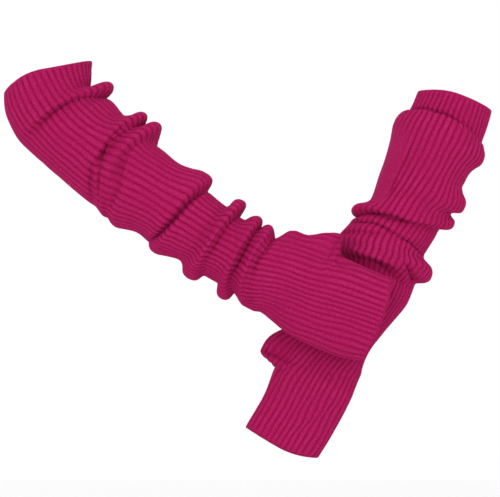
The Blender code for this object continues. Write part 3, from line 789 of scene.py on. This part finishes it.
def rib_counts(sleeve, place, turn):
    """Number of ribs between the thumb side and each point.

    In the gathered part each mesh column follows a rib. Above the thumb opening the ribs lie
    closer together. The outermost ones end at the edge of the opening, and fewer and wider ribs
    run on to the finger edge. The drift carries them away from the opening.
    """
    wrist, foot, web, knuckles = knots_of(sleeve, "wrist seam", "hand foot", "thumb web", "knuckles")
    away = math.pi - np.abs(turn - math.pi)
    near = np.clip(1 - away / CUT_SPREAD, 0, 1) ** SOFT_POWER
    close = eased((place - wrist) / (knuckles - wrist))
    spread = eased((place - web) / (knuckles - web))
    cut = cut_share(sleeve, place, away) * (1 - spread) + near * spread
    shift = CUT_RIBS * (cut + close * (1 - away / math.pi - near))
    drift = sleeve.drift * eased((place - foot) / (web - foot)) * (1 + np.cos(turn)) / 2
    return turn * RIBS / (2 * math.pi) + np.where(turn < math.pi, shift, -shift) - drift


def rib_heights(sleeve, place, turn, ribs):
    """Height of the ribs at each point, from 0 in a groove to 1; even in the plain parts and at
    both ends, which fade in."""
    here = lines_at(sleeve, place)
    turn = rib_turn(sleeve, place, turn)
    along = along_at(here, round_angle(here, turn))
    rise = np.interp(np.mod(ribs + PROBE, 1), RIB_STEPS + (1.0,), RIB_RISE + (RIB_RISE[0],))
    for plain in sleeve.plains:
        middle = math.radians(plain.turn_from + plain.turn_to) / 2
        half = math.radians(plain.turn_to - plain.turn_from) / 2
        off = np.abs(np.mod(turn - middle + math.pi, 2 * math.pi) - math.pi)
        inside = np.clip((half - off) / PLAIN_FADE_ROUND, 0, 1)
        inside = inside * np.clip((along - plain.at_from * MM) / PLAIN_FADE_START, 0, 1)
        inside = inside * np.clip((plain.at_to * MM - along) / PLAIN_FADE_END, 0, 1)
        rise = rise + (EVEN_RISE - rise) * inside
    length = cloth_lengths(sleeve, place)
    inwards = np.clip(np.minimum(length, length.max() - length) / END_FADE, 0, 1)
    return EVEN_RISE + (rise - EVEN_RISE) * inwards


def sleeve_grids(sleeve, settings):
    """Middle, outer and inner grid of a sleeve's wall, with the uv in ribs and rows of stitches,
    the height of the ribs and the rows that lie in the thumb opening."""
    places, is_open = mesh_rows(sleeve)
    steps = (np.arange(RIBS)[:, None] + np.array(RIB_STEPS)[None, :]).ravel()
    turns = np.append(steps, RIBS) * 2 * math.pi / RIBS
    place = np.repeat(places[:, None], len(turns), axis=1)
    turn = np.repeat(turns[None, :], len(places), axis=0)
    points = sleeve_surface(sleeve, place, turn)
    ribs = rib_counts(sleeve, place, turn)
    heights = rib_heights(sleeve, place, turn, ribs)
    outward = grid_directions(sleeve, points, is_open)
    outer = points + outward * (heights * settings.rib_height)[..., None]
    middle = (outer + points - outward * settings.wall) / 2
    keep_rows = slice(None, None, ROWS_PER_INNER_ROW)
    keep_columns = slice(None, None, COLUMNS_PER_INNER_STEP)
    inner = (points - outward * settings.wall)[keep_rows, keep_columns]
    length = running_sum(np.linalg.norm(np.diff(points, axis=0), axis=-1).mean(axis=1))
    rows = np.broadcast_to(length[:, None] / settings.stitch_height, place.shape)
    uv = np.stack([ribs, rows], axis=-1)
    return middle, outer, inner, uv, uv[keep_rows, keep_columns], heights, is_open


def sleeve_mesh(name, sleeve, settings):
    """Closed wall of a whole sleeve: ribbed outside, plain inside, joined at both ends and round
    the thumb opening."""
    _, outer, inner, outer_uv, inner_uv, heights, is_open = sleeve_grids(sleeve, settings)
    inner_open = is_open[::ROWS_PER_INNER_ROW]
    outer_numbers = grid_numbers(len(outer), outer.shape[1] - 1, is_open, 0)
    outer_points = grid_points(outer, is_open)
    inner_numbers = grid_numbers(len(inner), inner.shape[1] - 1, inner_open, len(outer_points))
    points = np.vstack([outer_points, grid_points(inner, inner_open)])
    faces = wall_faces(sleeve, outer_numbers, inner_numbers, is_open)
    uvs = wall_faces(sleeve, outer_uv, inner_uv, is_open)
    # The rib_height attribute sets the painted groove shade; the inside gets half a groove's painted shade
    height = np.full(len(points), INNER_RISE)
    height[:len(outer_points)] = np.concatenate([heights[:, :-1].ravel(), heights[is_open, -1]])
    return fill_mesh(name, points, faces, uvs, {"rib_height": height})


def edge_paths(sleeve, settings):
    """Closed paths of a sleeve's three edges: both ends and the thumb opening, midway through the wall."""
    middle, _, _, _, _, _, is_open = sleeve_grids(sleeve, settings)
    rows = opening_rows(is_open)[0]
    opening = np.vstack([middle[rows, 0], middle[rows, -1][-2:0:-1]])
    return {"arm_edge": middle[0, :-1], "finger_edge": middle[-1, :-1], "thumb_edge": opening}


def resampled_loop(path, count):
    """A closed path cut into count even steps."""
    closed = np.vstack([path, path[:1]])
    lengths = path_lengths(closed)
    places = np.linspace(0, lengths[-1], count, endpoint=False)
    return np.stack([np.interp(places, lengths, closed[:, axis]) for axis in range(3)], axis=1)


def edge_mesh(name, path, stitches, radius):
    """Bound-off edge: a tube carried along a closed path, its radius swelling once for each stitch
    and the swell lagging round the tube, so that the stitches lean."""
    centre = resampled_loop(path, stitches * EDGE_POINTS_PER_STITCH)
    ahead = unit(np.roll(centre, -1, axis=0) - np.roll(centre, 1, axis=0))
    outward = centre - centre.mean(axis=0)
    outward = unit(outward - (outward * ahead).sum(axis=1, keepdims=True) * ahead)
    side = np.cross(ahead, outward)
    turn = np.linspace(0, 2 * math.pi, EDGE_POINTS_ROUND, endpoint=False)[None, :]
    phase = 2 * math.pi * np.arange(len(centre))[:, None] / EDGE_POINTS_PER_STITCH
    swell = radius * (EDGE_THICKNESS + EDGE_SWELL * np.cos(phase - turn))
    ring = outward[:, None] * np.cos(turn)[..., None] + side[:, None] * np.sin(turn)[..., None]
    points = centre[:, None] + ring * swell[..., None]
    numbers = np.arange(len(centre) * EDGE_POINTS_ROUND).reshape(len(centre), -1)
    numbers = np.column_stack([numbers, numbers[:, 0]])
    numbers = np.vstack([numbers, numbers[:1]])
    rows = np.arange(len(centre) + 1)[:, None] / EDGE_POINTS_PER_STITCH
    ribs = np.linspace(0, 1, EDGE_POINTS_ROUND + 1)[None, :]
    uv = np.stack(np.broadcast_arrays(ribs, rows), axis=-1)
    # The bound edges get almost no painted groove shade
    height = np.full(len(centre) * EDGE_POINTS_ROUND, EDGE_RISE)
    return fill_mesh(name, points.reshape(-1, 3), [grid_corners(numbers)[:, ::-1]],
                     [grid_corners(uv)[:, ::-1]], {"rib_height": height})


def add_piece(mesh):
    """Object for a finished mesh, riding on the one body of the pair."""
    piece = bpy.data.objects.new(mesh.name, mesh)
    bpy.context.scene.collection.objects.link(piece)
    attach(piece, "root")
    return piece


def math_node(tree, operation, *values):
    """Math node whose inputs are numbers or sockets; returns its output."""
    node = tree.nodes.new("ShaderNodeMath")
    node.operation = operation
    for socket, value in zip(node.inputs, values):
        if isinstance(value, bpy.types.NodeSocket):
            tree.links.new(value, socket)
        else:
            socket.default_value = value
    return node.outputs[0]


def toned(tree, pattern, tone):
    """A pattern times the tone's gain, plus its base."""
    return math_node(tree, "MULTIPLY_ADD", pattern, tone.gain, tone.base)


def noise_on_object(tree, place, scale, detail):
    """Noise in Object coordinates; returns its value."""
    noise = tree.nodes.new("ShaderNodeTexNoise")
    noise.inputs["Scale"].default_value = scale
    noise.inputs["Detail"].default_value = detail
    tree.links.new(place.outputs["Object"], noise.inputs["Vector"])
    return noise.outputs["Fac"]


def raised_by(tree, height, strength, distance):
    """Bump node that raises a height by a distance."""
    bump = tree.nodes.new("ShaderNodeBump")
    bump.inputs["Strength"].default_value = strength
    bump.inputs["Distance"].default_value = distance
    tree.links.new(height, bump.inputs["Height"])
    return bump


def knit_material(name, settings):
    """Matt acrylic yarn in leaning stitches, with painted shade in the grooves between the ribs that is
    darker and richer in hue.

    Each rib has columns of stitches. A column is two rows of legs, a half sine of the distance
    from its middle, and the legs are stripes that lean the opposite way on its two sides. Red,
    green and blue follow the shade with a power each.
    """
    material = bpy.data.materials.new(name)
    material.use_nodes = True
    tree = material.node_tree
    nodes, links = tree.nodes, tree.links
    shader = nodes["Principled BSDF"]
    uv = nodes.new("ShaderNodeUVMap")
    uv.uv_map = "cloth"
    split = nodes.new("ShaderNodeSeparateXYZ")
    links.new(uv.outputs["UV"], split.inputs[0])
    wale = math_node(tree, "FRACT", math_node(tree, "MULTIPLY", split.outputs["X"], WALES_PER_RIB))
    aside = math_node(tree, "ABSOLUTE", math_node(tree, "SUBTRACT", wale, 0.5))
    legs = math_node(tree, "SINE", math_node(tree, "MULTIPLY", aside, 2 * math.pi))
    lean = math_node(tree, "ADD", split.outputs["Y"], math_node(tree, "MULTIPLY", aside, STITCH_LEAN))
    stripes = math_node(tree, "SINE", math_node(tree, "MULTIPLY", lean, 2 * math.pi))
    stitch = math_node(tree, "MULTIPLY", legs, toned(tree, stripes, STRIPES))
    place = nodes.new("ShaderNodeTexCoord")
    fuzz = noise_on_object(tree, place, FUZZ_SCALE, detail=3.0)
    cloudy = noise_on_object(tree, place, CLOUD_SCALE, detail=4.0)
    # Painted shade in the grooves: the lower the rib_height attribute, the darker the yarn
    rib = nodes.new("ShaderNodeAttribute")
    rib.attribute_name = "rib_height"
    groove = math_node(tree, "POWER", math_node(tree, "SUBTRACT", 1.0, rib.outputs["Fac"]), GROOVE_POWER)
    depth = toned(tree, cloudy,
                  Tone(-GROOVE_CLOUDY * settings.groove_shade, -GROOVE_EVEN * settings.groove_shade))
    shade = math_node(tree, "MULTIPLY_ADD", groove, depth, 1.0)
    # Painted light and shade on the stitches, then the yarn's own clouds and fuzz
    for pattern, tone in ((stitch, STITCH_SHADING), (cloudy, MOTTLE), (fuzz, FLECK)):
        shade = math_node(tree, "MULTIPLY", shade, toned(tree, pattern, tone))
    evened = math_node(tree, "DIVIDE", shade, MEAN_SHADE)
    tones = nodes.new("ShaderNodeCombineXYZ")
    for socket, power in zip(tones.inputs, SHADE_POWERS):
        links.new(math_node(tree, "POWER", evened, power), socket)
    colour = nodes.new("ShaderNodeVectorMath")
    colour.operation = "MULTIPLY"
    colour.inputs[0].default_value = tuple(MEAN_SHADE * part for part in settings.yarn_colour)
    links.new(tones.outputs[0], colour.inputs[1])
    links.new(colour.outputs[0], shader.inputs["Base Color"])
    raised = raised_by(tree, stitch, 1.0, settings.stitch_relief)
    fibres = raised_by(tree, fuzz, FIBRE_STRENGTH, FIBRE_RELIEF)
    links.new(raised.outputs["Normal"], fibres.inputs["Normal"])
    links.new(fibres.outputs["Normal"], shader.inputs["Normal"])
    links.new(toned(tree, fuzz, ROUGHNESS), shader.inputs["Roughness"])
    shader.inputs["Specular IOR Level"].default_value = SPECULAR
    shader.inputs["Sheen Weight"].default_value = SHEEN
    shader.inputs["Sheen Roughness"].default_value = SHEEN_ROUGHNESS
    shader.inputs["Sheen Tint"].default_value = SHEEN_TINT
    return material


def plain_material(name, colour, roughness):
    """One even colour, for the floor."""
    material = bpy.data.materials.new(name)
    material.use_nodes = True
    shader = material.node_tree.nodes["Principled BSDF"]
    shader.inputs["Base Color"].default_value = colour + (1.0,)
    shader.inputs["Roughness"].default_value = roughness
    return material


def add_area_light(name, place, target, size, power):
    """Square soft light that faces a point."""
    light = bpy.data.lights.new(name, "AREA")
    light.energy = power
    light.size = size
    lamp = bpy.data.objects.new(name, light)
    lamp.location = place
    way = np.array(target) - np.array(place)
    lamp.rotation_euler = (math.acos(-way[2] / np.linalg.norm(way)), 0.0, math.atan2(-way[0], way[1]))
    bpy.context.scene.collection.objects.link(lamp)
    return lamp


class ARMWARMERS_OT_knit_sleeves(bpy.types.Operator):
    """Knit both sleeves over the nodes that they stand for"""

    bl_idname = "armwarmers.knit_sleeves"
    bl_label = "Knit sleeves"

    def execute(self, context):
        settings = context.scene.arm_warmers
        for side, sleeve in SLEEVES.items():
            mesh = sleeve_mesh(f"{side}_arm_warmer", sleeve, settings)
            mesh.materials.append(knit_material(f"rib_knit_{side}", settings))
            piece = add_piece(mesh)
            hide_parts(*sleeve.nodes)
        return {"FINISHED"}


class ARMWARMERS_OT_bind_edges(bpy.types.Operator):
    """Bind off the ends and the thumb openings"""

    bl_idname = "armwarmers.bind_edges"
    bl_label = "Bind edges"

    def execute(self, context):
        settings = context.scene.arm_warmers
        for side, sleeve in SLEEVES.items():
            material = knit_material(f"bound_edge_{side}", settings)
            for edge, path in edge_paths(sleeve, settings).items():
                stitches = RIBS * settings.edge_stitches
                if edge == "thumb_edge":
                    stitches = int(path_lengths(path)[-1] / THUMB_STITCH)
                mesh = edge_mesh(f"{side}_{edge}", path, stitches, settings.edge_radius)
                mesh.materials.append(material)
                add_piece(mesh)
        return {"FINISHED"}


class ARMWARMERS_OT_set_stage(bpy.types.Operator):
    """Set the floor, the soft lights and the camera"""

    bl_idname = "armwarmers.set_stage"
    bl_label = "Set stage"

    def execute(self, context):
        settings = context.scene.arm_warmers
        centre = ((PHOTO_WIDTH_PX / 2 - PHOTO_ORIGIN_PX[0]) * PHOTO_SCALE, 0.0,
                  -(PHOTO_HEIGHT_PX / 2 - PHOTO_ORIGIN_PX[1]) * PHOTO_SCALE)
        floor_height = CAD_BOX[0][2] - settings.floor_drop
        half = settings.floor_size / 2
        corners = [(-half, -half, floor_height), (half, -half, floor_height),
                   (half, half, floor_height), (-half, half, floor_height)]
        mesh = bpy.data.meshes.new("floor")
        mesh.from_pydata(corners, [], [(0, 1, 2, 3)])
        mesh.materials.append(plain_material("pale_floor", FLOOR_COLOUR, FLOOR_ROUGHNESS))
        floor = bpy.data.objects.new("floor", mesh)
        context.scene.collection.objects.link(floor)
        add_area_light("key_light", KEY_PLACE, centre, KEY_SIZE, settings.key_power)
        add_area_light("fill_light", FILL_PLACE, centre, FILL_SIZE, settings.key_power * FILL_SHARE)
        world = bpy.data.worlds.new("white_room")
        world.use_nodes = True
        background = world.node_tree.nodes["Background"]
        background.inputs["Color"].default_value = (1.0, 1.0, 1.0, 1.0)
        background.inputs["Strength"].default_value = 1.0
        context.scene.world = world
        context.scene.view_settings.view_transform = "Standard"
        lens = bpy.data.cameras.new("camera")
        lens.sensor_width = SENSOR_WIDTH
        lens.lens = SENSOR_WIDTH * CAMERA_DISTANCE / (PHOTO_WIDTH_PX * PHOTO_SCALE)
        camera = bpy.data.objects.new("camera", lens)
        camera.location = (centre[0], -CAMERA_DISTANCE, centre[2])
        camera.rotation_euler = (math.pi / 2, 0.0, 0.0)
        context.scene.collection.objects.link(camera)
        context.scene.camera = camera
        return {"FINISHED"}


class ARMWARMERS_PT_panel(bpy.types.Panel):
    """Sidebar panel with the sizes and the steps of making the pair"""

    bl_idname = "ARMWARMERS_PT_panel"
    bl_label = "Arm warmers"
    bl_space_type = "VIEW_3D"
    bl_region_type = "UI"
    bl_category = "Arm warmers"

    def draw(self, context):
        settings = context.scene.arm_warmers
        for name in ArmWarmerSettings.__annotations__:
            self.layout.prop(settings, name)
        for operator in OPERATORS:
            self.layout.operator(operator.bl_idname)


OPERATORS = (ARMWARMERS_OT_knit_sleeves, ARMWARMERS_OT_bind_edges, ARMWARMERS_OT_set_stage)
CLASSES = (ArmWarmerSettings,) + OPERATORS + (ARMWARMERS_PT_panel,)


def register():
    """Register the classes and the settings of the scene."""
    for cls in CLASSES:
        bpy.utils.register_class(cls)
    bpy.types.Scene.arm_warmers = PointerProperty(type=ArmWarmerSettings)


def unregister():
    """Take the settings and the classes away again."""
    del bpy.types.Scene.arm_warmers
    for cls in reversed(CLASSES):
        bpy.utils.unregister_class(cls)


def main():
    """Make every piece in order."""
    register()
    bpy.ops.armwarmers.knit_sleeves()
    bpy.ops.armwarmers.bind_edges()
    bpy.ops.armwarmers.set_stage()


if __name__ == "__main__":
    main()
